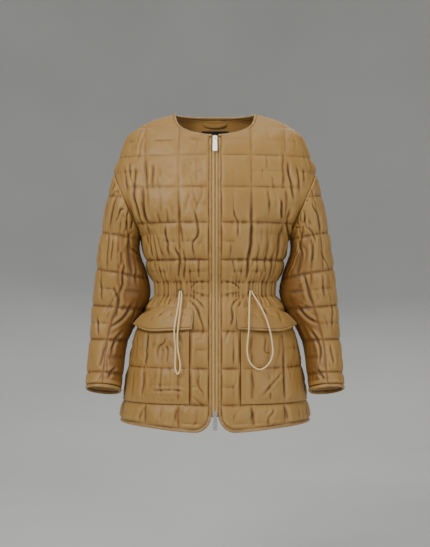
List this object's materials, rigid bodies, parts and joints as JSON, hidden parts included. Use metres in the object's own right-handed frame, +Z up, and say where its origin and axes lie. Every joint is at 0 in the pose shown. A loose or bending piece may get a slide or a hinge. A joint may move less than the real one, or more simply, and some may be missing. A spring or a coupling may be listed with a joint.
{
  "type": "quilted jacket",
  "caption": "Collarless quilted jacket with a two-way front zip, drawcord waist with free cord loops and flapped patch pockets, in its hollow worn shape.",
  "frame": {"origin": "midway between the two points where the neckline meets the shoulder seams, where a wearer's shoulders carry the jacket", "axes": "+Z up, -Y towards the front of the jacket, +X towards the wearer's left side"},
  "size_m": [0.5974, 0.3163, 0.7334],
  "materials": {
    "satin": "nylon satin shell, padded, soft sheen",
    "trim": "nylon satin bias binding",
    "tape": "woven polyester zip tape",
    "cord": "round braided cord",
    "eyelet_metal": "aged, pressed",
    "zip_metal": "polished plate",
    "label": "plain woven satin label"
  },
  "bodies": {
    "jacket": {"front_left": "satin", "front_right": "satin", "back": "satin", "sleeve_left": "satin", "sleeve_right": "satin", "pocket_left": "satin", "pocket_right": "satin", "pocket_flap_left": "satin", "pocket_flap_right": "satin", "hanger_loop": "satin", "neck_binding": "trim", "front_binding_left": "trim", "front_binding_right": "trim", "hem_binding_left": "trim", "hem_binding_right": "trim", "hem_binding_back": "trim", "cuff_binding_left": "trim", "cuff_binding_right": "trim", "flap_binding_left": "trim", "flap_binding_right": "trim", "zip_tape_left": "tape", "zip_tape_right": "tape", "drawcord_left": "cord", "drawcord_right": "cord", "eyelet_left": "eyelet_metal", "eyelet_right": "eyelet_metal", "neck_label": "label", "slider_top": "zip_metal", "slider_bottom": "zip_metal"},
    "top_pull": {"pull_top": "zip_metal"},
    "bottom_pull": {"pull_bottom": "zip_metal"}
  },
  "joints": [
    {"name": "top_pull_swing", "type": "hinge", "parent": "jacket", "child": "top_pull", "pos_m": [0, -0.08649, -0.06356], "axis": [-1, 0, 0], "range_deg": [0, 150]},
    {"name": "bottom_pull_swing", "type": "hinge", "parent": "jacket", "child": "bottom_pull", "pos_m": [0, -0.15729, -0.68463], "axis": [-1, 0, 0], "range_deg": [0, 150]}
  ]
}
